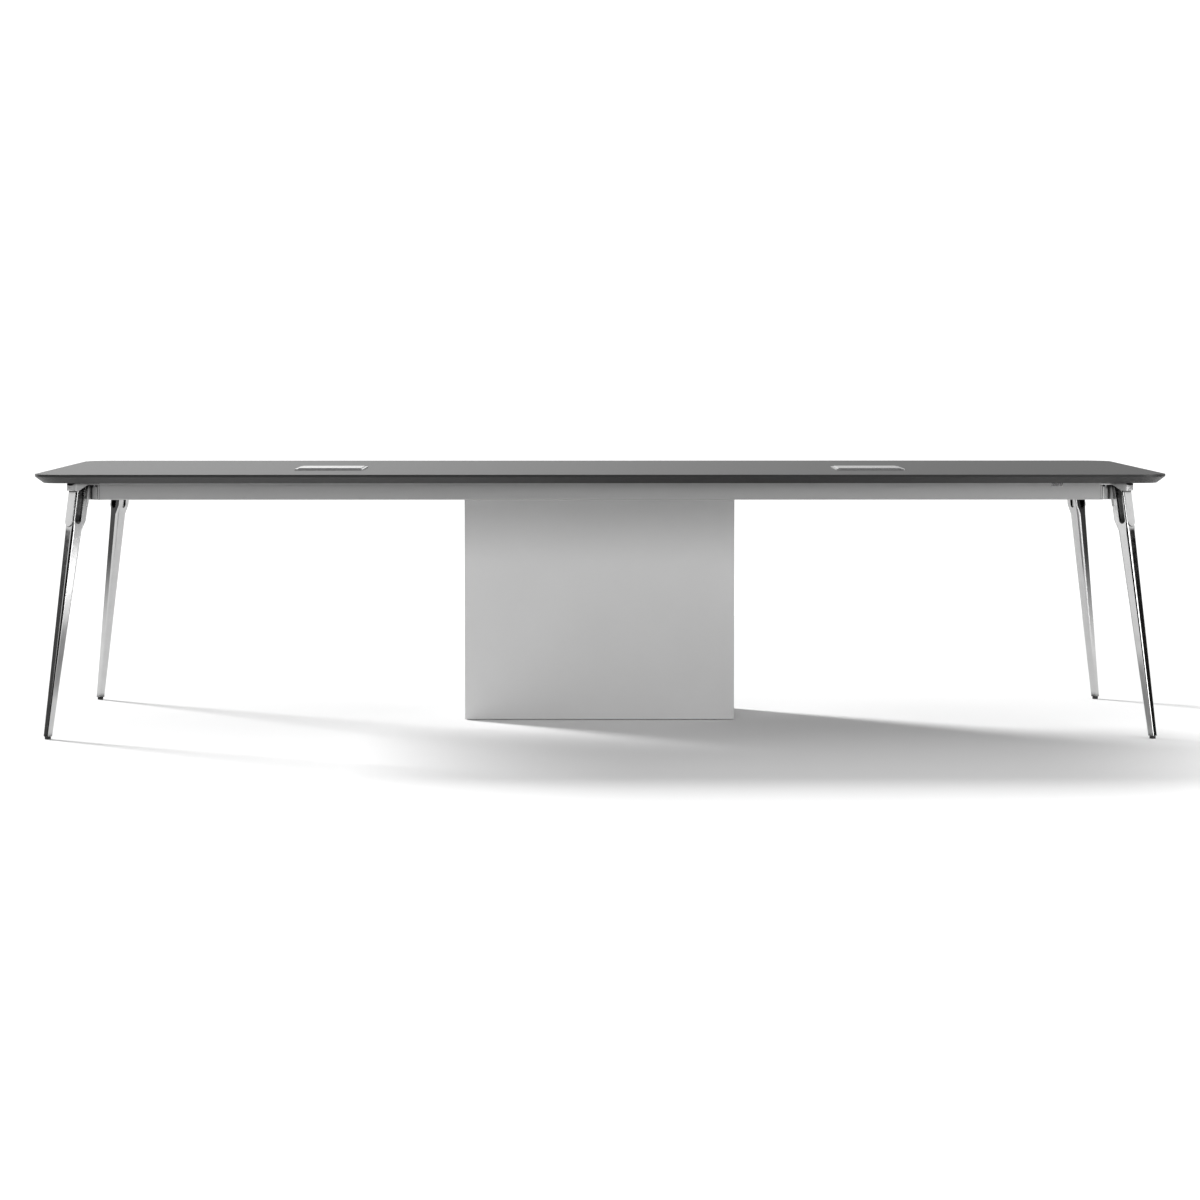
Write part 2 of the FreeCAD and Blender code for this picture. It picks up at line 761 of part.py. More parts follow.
HEAD_LOW = f"({UNDERSIDE} - head_drop)"
SLOT_LOW = f"({UNDERSIDE} - slot_drop)"
TONGUE_LOW = f"({UNDERSIDE} - tongue_drop)"
SHAFT_TOP = f"({UNDERSIDE} - shaft_drop)"
RECESS_TOP = f"({UNDERSIDE} - recess_drop)"
BOLT_LEVEL = f"({UNDERSIDE} - bolt_drop)"
GLIDE_X = f"({leg_axis(FOOT_LEVEL)} + shaft_offset)"
LEAN = f"atan(leg_splay / {LEG_TOP})"
ALONG = f"/ cos({LEAN})"


def make_leg(corner):
    """Cast leg: a tapering shaft under a head with two prongs and a round-bottomed slot between them."""
    body = new_body(f"leg_{corner}")

    def section(name, level, depth, width, bend, offset="0"):
        sketch = new_sketch(body, name, "XY_Plane", level)
        rounded_rectangle(sketch, f"({leg_axis(level)} + {offset})", "0", depth, width, bend)
        return sketch

    core_depth = "(head_depth - tongue_proud)"
    core_offset = "(-tongue_proud / 2)"
    foot = section("Foot", FOOT_LEVEL, "foot_size", "foot_size", "foot_round", "shaft_offset")
    shoulder = section("Shoulder", SHAFT_TOP, "shaft_size", "shaft_size", "shaft_round", "shaft_offset")
    loft(body, [foot, shoulder])
    neck = section("Neck", SHAFT_TOP, "shaft_size", "shaft_size", "shaft_round", "shaft_offset")
    head = section("HeadLow", HEAD_LOW, core_depth, "head_width", "head_round", core_offset)
    loft(body, [neck, head])
    head_base = section("HeadBase", HEAD_LOW, core_depth, "head_width", "head_round", core_offset)
    head_top = section("HeadTop", PLATE_LOW, core_depth, "head_width", "head_round", core_offset)
    loft(body, [head_base, head_top])

    tongue = new_sketch(body, "Tongue", "YZ_Plane")
    lean_plane(tongue, "leg_splay + head_depth / 2 - tongue_proud", -1)
    strap(tongue, "tongue_width / 2", f"{TONGUE_LOW} {ALONG}", f"{LEG_TOP} {ALONG} + overrun", round_top=False)
    pad(body, tongue, "tongue_proud", back="tongue_root")
    trim = new_sketch(body, "TopUnderPlate", "XZ_Plane")
    slot_middle = f"({RAMP_FOOT} - slot_width / 2)"
    prong_top = f"({PLATE_LOW} - (nose_thick - plate_thick) * ({slot_middle} - {RAMP_TOP}) / ramp_length - fork_gap)"
    above = f"({PLATE_LOW} + 2 * overrun)"
    outline(trim, [
        ("head_depth", above), ("head_depth", LEG_TOP), (slot_middle, LEG_TOP), (slot_middle, prong_top),
        (RAMP_TOP, f"{PLATE_LOW} - fork_gap"), ("-head_depth", f"{PLATE_LOW} - fork_gap"), ("-head_depth", above),
    ])
    pocket(body, trim)

    slot = new_sketch(body, "Slot", "XZ_Plane")
    slot_high = f"({PLATE_LOW} + overrun)"
    slot_spring = f"{SLOT_LOW} + slot_width / 2"
    outer_wall = "(head_depth / 2 - outer_prong)"
    inner_wall = "(head_depth / 2 - outer_prong - slot_width)"
    points = [
        (f"{leg_axis(slot_high)} + {inner_wall}", slot_high),
        (f"{leg_axis(slot_spring)} + {inner_wall}", slot_spring),
        (f"{leg_axis(slot_spring)} + {outer_wall}", slot_spring),
        (f"{leg_axis(slot_high)} + {outer_wall}", slot_high),
    ]
    slot_outline(slot, points, slot_spring)
    pocket(body, slot)

    rebate = new_sketch(body, "LugRebate", "XZ_Plane")
    outline(rebate, [
        (f"{leg_axis(slot_high)} + {LUG_FACE}", slot_high),
        (f"{leg_axis(LUG_LOW)} + {LUG_FACE}", LUG_LOW),
        (f"{leg_axis(LUG_LOW)} + {PRONG_FACE} - overrun", LUG_LOW),
        (f"{leg_axis(slot_high)} + {PRONG_FACE} - overrun", slot_high),
    ])
    pocket(body, rebate)

    recess = new_sketch(body, "InnerRecess", "YZ_Plane")
    lean_plane(recess, "leg_splay - head_depth / 2", -1)
    strap(recess, "recess_width / 2", f"({RECESS_TOP} - recess_length) {ALONG}", f"{RECESS_TOP} {ALONG}", round_top=True)
    pocket(body, recess, "recess_depth", reverse=True)

    threads = new_sketch(body, "BoltThreads", "YZ_Plane", "0")
    for across in (-1, 1):
        circle(threads, f"{across} * bolt_spacing / 2", BOLT_LEVEL, "bolt_radius + thread_gap")
    pocket(body, threads, "head_depth / 2")

    socket = new_sketch(body, "InsertSocket", "XY_Plane", FOOT_LEVEL)
    circle(socket, GLIDE_X, "0", "insert_radius")
    pocket(body, socket, "insert_length", reverse=True)
    place_in_corner(body, corner)
    return finish(body, f"leg_{corner}")


def slot_outline(sketch, points, spring):
    """Four corners joined by lines, with a half-round bottom between the middle two."""
    spots = [FreeCAD.Vector(size(x), size(y), 0) for x, y in points]
    radius = (spots[2].x - spots[1].x) / 2
    dip = (spots[1] + spots[2]) / 2 - FreeCAD.Vector(0, radius, 0)
    inner = sketch.addGeometry(Part.LineSegment(spots[0], spots[1]), False)
    bowl = sketch.addGeometry(Part.Arc(spots[1], dip, spots[2]), False)
    outer = sketch.addGeometry(Part.LineSegment(spots[2], spots[3]), False)
    mouth = sketch.addGeometry(Part.LineSegment(spots[3], spots[0]), False)
    for curve, end, spot in ((inner, 1, 0), (inner, 2, 1), (outer, 1, 2), (outer, 2, 3)):
        pin_point(sketch, curve, end, *points[spot])
    for before, after in ((inner, bowl), (bowl, outer), (outer, mouth), (mouth, inner)):
        sketch.addConstraint(Sketcher.Constraint("Coincident", before, 2, after, 1))
    index = sketch.addConstraint(Sketcher.Constraint("DistanceY", -1, 1, bowl, 3, size(spring)))
    sketch.setExpression(f"Constraints[{index}]", cells(spring))


# Levelling glides


def make_glide(corner):
    """Moulded foot on a steel stud that screws into an insert in the leg."""
    foot = rod(f"GlideDisc_{corner}", "glide_radius", "glide_height")
    bevel = doc.addObject("Part::Chamfer", f"GlideBevel_{corner}")
    bevel.Base = foot
    doc.recompute()
    rims = [index for index, edge in enumerate(foot.Shape.Edges, 1) if edge.Closed and edge.Length > 0]
    chamfer = size("glide_chamfer")
    bevel.Edges = [(index, chamfer, chamfer) for index in rims[:2]]
    well = rod(f"GlideWell_{corner}", "stud_radius", "stud_root + overrun", z="glide_height - stud_root")
    disc = cut(f"glide_foot_{corner}", bevel, [well])
    place_in_corner(disc, corner, GLIDE_X)
    finish(disc, f"glide_foot_{corner}")
    stud = rod(f"glide_stud_{corner}", "stud_radius", "stud_root + stud_length + glide_gap")
    place_in_corner(stud, corner, GLIDE_X, "glide_height - stud_root")
    finish(stud, f"glide_stud_{corner}")


def make_inserts():
    sleeve = rod("InsertSleeve", "insert_radius", "insert_length")
    bore = rod("InsertBore", "stud_radius + stud_gap", "insert_length + 2 * overrun", z="-overrun")
    insert = cut("Insert", sleeve, [bore])
    spots = [(*corner_place(corner, GLIDE_X), FOOT_LEVEL, turned(0)) for corner in CORNERS]
    group("leg_inserts", insert, spots)


# Fasteners


def headed(name, radius, length, head_radius, head_height):
    """A screw along its own +Z: the head below zero, the shank above it."""
    shank = rod(f"{name}Shank", radius, length)
    head = doc.addObject("Part::Prism", f"{name}Head")
    head.Polygon = 6
    bind(head, Circumradius=head_radius, Height=head_height)
    place(head, z=f"-{head_height}")
    return fuse(name, [shank, head])


def make_leg_bolts():
    length = f"({LUG_FACE} - {HUB_BACK_X} + bolt_bite)"
    bolt = headed("LegBolt", "bolt_radius", length, "bolt_head_radius", "bolt_head_height")
    spots = []
    for corner, (side_x, side_y, _) in CORNERS.items():
        for across in (-1, 1):
            x, y = corner_place(corner, HUB_BACK_X, f"{across} * bolt_spacing / 2")
            spots.append((x, y, BOLT_LEVEL, facing(side_x, side_y, 0)))
    group("leg_bolts", bolt, spots)


def make_wood_screws():
    """Screws from below into the top, each head against the piece that it holds."""
    spots = [(x, y, z, turned(0)) for x, y, z in top_screw_places()]
    short = headed("TopScrew", "screw_radius", "screw_bite", "screw_head_radius", "screw_head_height")
    group("top_screws", short, spots)
    long = headed("CastingScrew", "screw_radius", "casting_screw_floor + screw_bite", "screw_head_radius",
                  "screw_head_height")
    spots = []
    for corner in CORNERS:
        for x, y in casting_screw_places():
            spots.append((*corner_place(corner, x, y), f"{UNDERSIDE} - casting_screw_floor", turned(0)))
    group("casting_screws", long, spots)


def make_rail_screws():
    """Screws from inside the frame through each rail's wall into the casting's spigot."""
    screw = headed("RailScrew", "screw_radius", "rail_wall + rail_screw_bite", "screw_head_radius",
                   "screw_head_height")
    level = f"{RAIL_LOW} + rail_height / 2"
    spots = []
    for side in (-1, 1):
        for end in (-1, 1):
            along = f"{end} * ({LONG_RAIL} / 2 - rail_screw_place)"
            spots.append((along, f"{side} * {RAIL_INSIDE}", level, facing(0, side, 0)))
            along = f"{end} * ({END_RAIL} / 2 - rail_screw_place)"
            spots.append((f"{side} * (frame_length / 2 - rail_thick)", along, level, facing(side, 0, 0)))
    group("rail_screws", screw, spots)


def make_top_brackets():
    body = new_body("TopBracket")
    profile = new_sketch(body, "Profile", "YZ_Plane")
    outline(profile, [("0", "0"), ("0", "-bracket_leg"), ("-bracket_thick", "-bracket_leg"),
                      ("-bracket_thick", "-bracket_thick"), ("-bracket_leg", "-bracket_thick"), ("-bracket_leg", "0")])
    pad(body, profile, "bracket_width", both_ways=True)
    hole = new_sketch(body, "ScrewHole", "XY_Plane")
    circle(hole, "0", "-bracket_hole", "screw_radius + bolt_gap")
    pocket(body, hole)
    spots = []
    for x in BRACKET_PLACES:
        for side, turn in ((1, 0), (-1, 180)):
            spots.append((x, f"{side} * {RAIL_INSIDE}", UNDERSIDE, turned(turn)))
    group("top_brackets", body, spots)


CLIP_X = "(frame_length / 2 - clip_inset)"


def make_rail_clip():
    """Small strap with two buttons, high on the front rail near its right end."""
    strip = block("ClipStrap", "clip_width", "clip_thick", "clip_height", f"{CLIP_X} - clip_width / 2",
                  "-(frame_width / 2 + clip_thick)", f"{UNDERSIDE} - clip_height")
    finish(strip, "rail_clip")
    button = rod("ClipButton", "screw_head_radius", "screw_head_height")
    spots = []
    for side in (-1, 1):
        spots.append((f"{CLIP_X} + {side} * clip_spacing / 2", "-(frame_width / 2 + clip_thick)",
                      f"{UNDERSIDE} - clip_height / 2", facing(0, -1, 0)))
    group("clip_buttons", button, spots)


# Cable cabinet


CABINET_HEIGHT = f"({CROSS_LOW} - pad_thick)"
CABINET_MIDDLE = "(cabinet_depth / 2 - cabinet_front)"
SIDE_DEPTH = "(cabinet_depth - 2 * board)"
NOTCH_DEPTH = f"({CROSS_LOW} - {UNDERSIDE} + channel_depth)"


def make_cabinet():
    """Upright panels on a floor board, from the pads up to the inner cross rails."""
    inside_y = "board - cabinet_front"
    for name, y in (("front", "-cabinet_front"), ("rear", "cabinet_depth - cabinet_front - board")):
        panel = block(f"cabinet_{name}_panel", "cabinet_width", "board", CABINET_HEIGHT, "-cabinet_width / 2", y,
                      "pad_thick")
        finish(panel, f"cabinet_{name}_panel")
    for name, side in SIDES.items():
        x = "cabinet_width / 2 - board" if side > 0 else "-cabinet_width / 2"
        board = block(f"CabinetSide_{name}", "board", SIDE_DEPTH, CABINET_HEIGHT, x, inside_y, "pad_thick")
        notch = block(f"CabinetNotch_{name}", "board + 2 * overrun", "channel_width", f"{NOTCH_DEPTH} + overrun",
                      f"{x} - overrun", "channel_place - channel_width / 2", f"{CROSS_LOW} - {NOTCH_DEPTH}")
        panel = cut(f"cabinet_side_{name}", board, [notch])
        finish(panel, f"cabinet_side_{name}")
    inner_width = "(cabinet_width - 2 * board)"
    floor = block("CabinetFloor", inner_width, SIDE_DEPTH, "board", f"-{inner_width} / 2", inside_y, "pad_thick")
    hole = block("FloorHole", "floor_hole_length", "floor_hole_width", "board + 2 * overrun",
                 "-floor_hole_length / 2", f"{CABINET_MIDDLE} - floor_hole_width / 2", "pad_thick - overrun")
    finish(cut("cabinet_floor", floor, [hole]), "cabinet_floor")
    pad_disc = rod("CabinetPad", "pad_radius", "pad_thick")
    spots = []
    for side in SIDES.values():
        for across in (-1, 1):
            x = f"{side} * (cabinet_width / 2 - pad_inset)"
            y = f"{CABINET_MIDDLE} + {across} * (cabinet_depth / 2 - pad_inset)"
            spots.append((x, y, "0", turned(0)))
    group("cabinet_pads", pad_disc, spots)
    make_cabinet_angles()


def make_cabinet_angles():
    """Angles that tie the front and rear panels to the inner cross rails."""
    body = new_body("CabinetAngle")
    profile = new_sketch(body, "Profile", "YZ_Plane")
    outline(profile, [("0", "0"), ("0", "-angle_leg"), ("-angle_thick", "-angle_leg"),
                      ("-angle_thick", "-angle_thick"), ("-angle_leg", "-angle_thick"), ("-angle_leg", "0")])
    pad(body, profile, "angle_width", both_ways=True)
    spots = []
    for side in SIDES.values():
        x = f"{side} * (cabinet_width / 2 - board - angle_width / 2)"
        for across, turn in ((1, 0), (-1, 180)):
            spots.append((x, f"{CABINET_MIDDLE} + {across} * {SIDE_DEPTH} / 2", CROSS_LOW, turned(turn)))
    group("cabinet_angles", body, spots)


# Cable channels from the cable boxes to the cabinet


def make_channel(name, side):
    """Open folded channel under the top, from behind a cable box to the cabinet."""
    body = new_body(f"cable_channel_{name}")
    profile = new_sketch(body, "Profile", "YZ_Plane", f"{CHANNEL_START}" if side > 0 else f"-{CHANNEL_END}")
    out, wall = "channel_width / 2", "channel_wall"
    right = [(out, "-channel_depth"), (out, f"-{wall}"), (f"{out} + channel_flange", f"-{wall}"),
             (f"{out} + channel_flange", "0"), (f"{out} - {wall}", "0"), (f"{out} - {wall}", f"-channel_depth + {wall}")]
    left = [(f"-({y})", z) for y, z in reversed(right)]
    outline(profile, right + left)
    pad(body, profile, CHANNEL_LENGTH)
    holes = new_sketch(body, "ScrewHoles", "XY_Plane")
    for x, y in channel_screw_places(side):
        circle(holes, x, y, "screw_radius + bolt_gap")
    pocket(body, holes)
    window = new_sketch(body, "Window", "XZ_Plane")
    rectangle(window, f"{side} * box_place", f"(table_height - {UNDERSIDE} - tray_depth + tray_wall + port_height / 2)",
              "port_width", "port_height")
    pocket(body, window, "channel_width", reverse=True)
    place(body, y="channel_place", z=UNDERSIDE)
    return finish(body, f"cable_channel_{name}")


# Cable boxes


INNER_LENGTH = "(box_length - 2 * rim_bar)"
INNER_WIDTH = "(box_width - 2 * rim_bar)"
PIN_LEVEL = "(table_height - pin_drop)"
PIN_Y = f"({INNER_WIDTH} / 2 - lid_rear_gap - pin_setback)"
PIN_LENGTH = f"({INNER_LENGTH} + 2 * pin_bite)"
TRAY_HEIGHT = "(tray_depth - tray_top_drop)"


def make_box_frame(name, side):
    """Rim on the table with a collar down through the cut-out; its side walls carry the lid's pin and ledges."""
    body = new_body(f"cable_box_frame_{name}")
    collar = new_sketch(body, "Collar", "XY_Plane", "table_height - collar_depth")
    rectangle(collar, "0", "0", f"({INNER_LENGTH} + 2 * collar_wall)", f"({INNER_WIDTH} + 2 * collar_wall)")
    rectangle(collar, "0", "0", INNER_LENGTH, INNER_WIDTH)
    pad(body, collar, "collar_depth")
    rim = new_sketch(body, "Rim", "XY_Plane", "table_height")
    rounded_rectangle(rim, "0", "0", "box_length", "box_width", "rim_bar / 2")
    rectangle(rim, "0", "0", INNER_LENGTH, INNER_WIDTH)
    pad(body, rim, "rim_proud")
    ledge = new_sketch(body, "Ledges", "XY_Plane", "table_height - ledge_gap")
    for way in (-1, 1):
        rectangle(ledge, f"{way} * ({INNER_LENGTH} / 2 - ledge_width / 2 + collar_wall / 2)", "-ledge_end / 2",
                  "(ledge_width + collar_wall)", f"({INNER_WIDTH} - ledge_end)")
    pad(body, ledge, "ledge_thick").Reversed = True
    pin_hole = new_sketch(body, "PinHole", "YZ_Plane")
    circle(pin_hole, PIN_Y, PIN_LEVEL, "pin_radius")
    pocket(body, pin_hole, PIN_LENGTH, both_ways=True)
    place(body, f"{side} * box_place", "-box_forward")
    return finish(body, f"cable_box_frame_{name}")


def make_lid(name, side):
    """Flat lid hinged at its rear edge; a barrel below it turns on the pin."""
    body = new_body(f"cable_box_lid_{name}")
    low, high = f"{PIN_LEVEL} + pin_drop", f"{PIN_LEVEL} + pin_drop + lid_thick"
    rear, front = f"{PIN_Y} + pin_setback", f"-{INNER_WIDTH} / 2 + lid_front_gap"
    profile = new_sketch(body, "Profile", "YZ_Plane")
    outline(profile, [(front, low), (rear, low), (rear, high), (front, high)])
    pad(body, profile, f"{INNER_LENGTH} - 2 * lid_side_gap", both_ways=True)
    top, slack = size(high), size("lid_round")
    soften(body, "lid_round", lambda edge: edge.BoundBox.ZMin > top - slack / 2)
    barrel = new_sketch(body, "Barrel", "YZ_Plane")
    circle(barrel, PIN_Y, PIN_LEVEL, "barrel_radius")
    pad(body, barrel, f"{INNER_LENGTH} - 4 * lid_side_gap", both_ways=True)
    bore = new_sketch(body, "Bore", "YZ_Plane")
    circle(bore, PIN_Y, PIN_LEVEL, "pin_radius + pin_gap")
    pocket(body, bore)
    place(body, f"{side} * box_place", "-box_forward")
    return finish(body, f"cable_box_lid_{name}")


def make_box_inside(name, side):
    """Hinge pin, brush and sheet-steel tray of one cable box."""
    pin = rod(f"lid_hinge_pin_{name}", "pin_radius", PIN_LENGTH, f"{side} * box_place - {PIN_LENGTH} / 2",
              f"{PIN_Y} - box_forward", PIN_LEVEL, turn=90)
    finish(pin, f"lid_hinge_pin_{name}")
    left, near = f"{side} * box_place - {INNER_LENGTH} / 2", f"-{INNER_WIDTH} / 2 - box_forward"
    brush = block(f"brush_strip_{name}", f"{INNER_LENGTH} - 2 * ledge_width", "lid_front_gap - brush_gap",
                  "brush_depth + brush_gap", f"{left} + ledge_width", near, "table_height - brush_depth")
    finish(brush, f"brush_strip_{name}")
    shell = block(f"TrayShell_{name}", INNER_LENGTH, INNER_WIDTH, TRAY_HEIGHT, left, near, "table_height - tray_depth")
    hollow = block(f"TrayHollow_{name}", f"{INNER_LENGTH} - 2 * tray_wall", f"{INNER_WIDTH} - 2 * tray_wall",
                   "tray_depth", f"{left} + tray_wall", f"{near} + tray_wall", "table_height - tray_depth + tray_wall")
    port = block(f"TrayPort_{name}", "port_width", "2 * overrun", "port_height", f"{side} * box_place - port_width / 2",
                 f"{INNER_WIDTH} / 2 - box_forward - overrun", "table_height - tray_depth + tray_wall")
    finish(cut(f"cable_box_tray_{name}", shell, [hollow, port]), f"cable_box_tray_{name}")


def make_cable_boxes():
    for name, side in SIDES.items():
        make_channel(name, side)
        make_box_frame(name, side)
        make_lid(name, side)
        make_box_inside(name, side)


make_tabletop()
make_rails()
make_cross_rails()
make_cleats()
for corner_name in CORNERS:
    make_casting(corner_name)
    make_leg(corner_name)
    make_glide(corner_name)
make_inserts()
make_leg_bolts()
make_wood_screws()
make_rail_screws()
make_top_brackets()
make_rail_clip()
make_cabinet()
make_cable_boxes()
doc.recompute()


def check_and_write():
    faults = [item.Name for item in doc.Objects if {"Invalid", "Error"} & set(item.State)]
    faults += [item.Label for item in SUBPARTS if item.Shape.isNull() or not item.Shape.isValid()]
    if faults:
        raise ValueError("failed objects: " + ", ".join(faults))
    os.makedirs("parts", exist_ok=True)
    for item in SUBPARTS:
        item.Shape.exportStep(f"parts/{item.Label}.step")
        box = item.Shape.BoundBox
        print(f"{item.Label}: {len(item.Shape.Solids)} solids, {item.Shape.Volume / 1000:.1f} cm3, "
              f"X {box.XMin:.1f} {box.XMax:.1f} Y {box.YMin:.1f} {box.YMax:.1f} Z {box.ZMin:.1f} {box.ZMax:.1f}")


check_and_write()
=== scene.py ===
import json
import math
import random
import bmesh
import bpy
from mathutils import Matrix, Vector

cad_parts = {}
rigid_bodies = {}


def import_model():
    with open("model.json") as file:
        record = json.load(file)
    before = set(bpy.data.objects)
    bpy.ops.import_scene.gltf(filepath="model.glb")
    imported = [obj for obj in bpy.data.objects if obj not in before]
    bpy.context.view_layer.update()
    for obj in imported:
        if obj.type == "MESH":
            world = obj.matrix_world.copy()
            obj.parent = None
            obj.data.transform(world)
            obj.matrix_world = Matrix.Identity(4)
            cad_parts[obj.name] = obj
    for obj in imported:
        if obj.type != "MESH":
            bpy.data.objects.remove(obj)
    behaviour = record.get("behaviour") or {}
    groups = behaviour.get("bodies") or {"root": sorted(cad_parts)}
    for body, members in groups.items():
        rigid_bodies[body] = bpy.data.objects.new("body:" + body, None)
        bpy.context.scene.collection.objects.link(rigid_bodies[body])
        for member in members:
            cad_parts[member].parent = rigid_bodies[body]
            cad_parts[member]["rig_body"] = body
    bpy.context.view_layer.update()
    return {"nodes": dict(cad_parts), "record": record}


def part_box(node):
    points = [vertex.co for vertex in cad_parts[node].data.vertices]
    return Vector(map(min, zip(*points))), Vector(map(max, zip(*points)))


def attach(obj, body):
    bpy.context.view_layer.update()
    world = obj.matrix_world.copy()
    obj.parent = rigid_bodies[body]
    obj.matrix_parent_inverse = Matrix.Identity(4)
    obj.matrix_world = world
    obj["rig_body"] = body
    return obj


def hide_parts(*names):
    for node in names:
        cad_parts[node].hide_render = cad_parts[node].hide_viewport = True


# Meeting table on forked cast legs: finishes, rounded edges, brush bristles, studio and camera
# Metres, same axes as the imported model: X along the table, Y from front to rear, Z up

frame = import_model()
random.seed(11)
scene = bpy.context.scene
scene.view_settings.view_transform = "Standard"

MM = 0.001
SIDES = ("left", "right")
CORNERS = ("front_left", "front_right", "rear_left", "rear_right")


# Shader helpers


def grey(value, warmth=0.0):
    """Grey colour; warmth is the share that red gains and blue loses."""
    return (value * (1 + warmth), value, value * (1 - warmth))


def ramped(tree, value, start, end, low=0.0, high=1.0, kind="SMOOTHSTEP"):
    """Turn a value between start and end into one between low and high, held level past both ends."""
    node = tree.nodes.new("ShaderNodeMapRange")
    node.interpolation_type = kind
    node.inputs["From Min"].default_value = start
    node.inputs["From Max"].default_value = end
    node.inputs["To Min"].default_value = low
    node.inputs["To Max"].default_value = high
    tree.links.new(value, node.inputs["Value"])
    return node.outputs["Result"]


def joined(tree, operation, first, *others):
    """Join values one after the other with math nodes."""
    for other in others:
        node = tree.nodes.new("ShaderNodeMath")
        node.operation = operation
        tree.links.new(first, node.inputs[0])
        tree.links.new(other, node.inputs[1])
        first = node.outputs["Value"]
    return first


def mixed(tree, factor, first, second):
    """Mix two colours, each of them fixed or another node's output."""
    node = tree.nodes.new("ShaderNodeMix")
    node.data_type = "RGBA"
    for socket, colour in (("A", first), ("B", second)):
        if isinstance(colour, tuple):
            node.inputs[socket].default_value = (*colour, 1)
        else:
            tree.links.new(colour, node.inputs[socket])
    tree.links.new(factor, node.inputs["Factor"])
    return node.outputs["Result"]


class Finish:
    """A principled material with short calls for its procedural nodes."""

    def __init__(self, name, colour, roughness, metallic=0.0, **sockets):
        self.material = bpy.data.materials.new(name)
        self.material.use_nodes = True
        self.tree = self.material.node_tree
        self.shader = self.tree.nodes["Principled BSDF"]
        self.coords = self.tree.nodes.new("ShaderNodeTexCoord")
        self.colour = colour
        self.roughness = roughness
        self.shader.inputs["Base Color"].default_value = (*colour, 1)
        self.shader.inputs["Roughness"].default_value = roughness
        self.shader.inputs["Metallic"].default_value = metallic
        for socket, value in sockets.items():
            self.shader.inputs[socket.replace("_", " ")].default_value = value

    def noise(self, scale, detail, stretch=(1, 1, 1)):
        """Noise over the object's own coordinates, which are scaled along each axis."""
        mapping = self.tree.nodes.new("ShaderNodeMapping")
        mapping.inputs["Scale"].default_value = stretch
        self.tree.links.new(self.coords.outputs["Object"], mapping.inputs["Vector"])
        node = self.tree.nodes.new("ShaderNodeTexNoise")
        node.inputs["Scale"].default_value = scale
        node.inputs["Detail"].default_value = detail
        self.tree.links.new(mapping.outputs["Vector"], node.inputs["Vector"])
        return node.outputs["Fac"]

    def spread(self, pattern, low, high):
        """Stretch the middle of a noise pattern between two numbers."""
        return ramped(self.tree, pattern, start=0.3, end=0.7, low=low, high=high, kind="LINEAR")

    def recolour(self, colour):
        """Feed the shader with a colour that other nodes make."""
        self.tree.links.new(colour, self.shader.inputs["Base Color"])
        return self

    def tint(self, pattern, change):
        """Vary the colour's brightness around its own value by a share."""
        darker = tuple(c * (1 - change) for c in self.colour)
        lighter = tuple(c * (1 + change) for c in self.colour)
        return self.recolour(mixed(self.tree, self.spread(pattern, 0, 1), darker, lighter))

    def fade_to(self, colour, amount):
        """Mix the tinted colour towards another one."""
        tinted = self.shader.inputs["Base Color"].links[0].from_socket
        return self.recolour(mixed(self.tree, amount, tinted, colour))

    def paint_crevice_shade(self, reach, dark):
        """Painted shade: darken the colour where close walls hide the surface, as ambient occlusion finds
        it.
        """
        occlusion = self.tree.nodes.new("ShaderNodeAmbientOcclusion")
        occlusion.inputs["Distance"].default_value = reach
        occlusion.samples = 8
        crevice_shade = ramped(self.tree, occlusion.outputs["AO"], start=0.55, end=0.92, low=1.0, high=0.0)
        return self.fade_to(grey(dark), crevice_shade)

    def gloss(self, pattern, change):
        """Vary the roughness around its own value."""
        roughness = self.spread(pattern, self.roughness - change, self.roughness + change)
        self.tree.links.new(roughness, self.shader.inputs["Roughness"])
        return self

    def bump(self, pattern, height, strength):
        """Add a fine relief, height in metres."""
        node = self.tree.nodes.new("ShaderNodeBump")
        node.inputs["Strength"].default_value = strength
        node.inputs["Distance"].default_value = height
        self.tree.links.new(pattern, node.inputs["Height"])
        self.tree.links.new(node.outputs["Normal"], self.shader.inputs["Normal"])
        return self


# Finishes


def top_laminate():
    """Matte dark grey board with a fine pearl grain."""
    finish = Finish("top_laminate", grey(0.026), roughness=0.40, Specular_IOR_Level=0.30)
    grain = finish.noise(scale=900, detail=2)
    finish.tint(grain, change=0.18)
    finish.gloss(grain, change=0.03)
    return finish.bump(grain, height=0.03 * MM, strength=0.25)


def rail_paint():
    """Silver-grey powder coat with a slight orange peel."""
    finish = Finish("rail_paint", grey(0.33), roughness=0.42, metallic=0.25)
    finish.tint(finish.noise(scale=1500, detail=1), change=0.05)
    finish.gloss(finish.noise(scale=9, detail=3), change=0.03)
    return finish.bump(finish.noise(scale=260, detail=2), height=0.05 * MM, strength=0.2)


def polished_cast():
    """Mirror-polished aluminium with the faint waves and haze of hand polishing."""
    finish = Finish("polished_cast", grey(0.52), roughness=0.055, metallic=1.0)
    finish.tint(finish.noise(scale=35, detail=3), change=0.03)
    # Painted shade: the slots and the recesses under the plate are darkened in the colour
    finish.paint_crevice_shade(reach=30 * MM, dark=0.01)
    finish.gloss(finish.noise(scale=60, detail=4), change=0.025)
    return finish.bump(finish.noise(scale=22, detail=2), height=0.25 * MM, strength=0.07)


def satin_cast():
    """The same alloy, blasted to a satin silver, for the corner castings."""
    finish = Finish("satin_cast", grey(0.42), roughness=0.38, metallic=0.35)
    finish.tint(finish.noise(scale=900, detail=2), change=0.06)
    # Painted shade: the corners between the arms and the rails are darkened in the colour
    finish.paint_crevice_shade(reach=14 * MM, dark=0.02)
    finish.gloss(finish.noise(scale=40, detail=3), change=0.05)
    return finish.bump(finish.noise(scale=700, detail=2), height=0.04 * MM, strength=0.25)


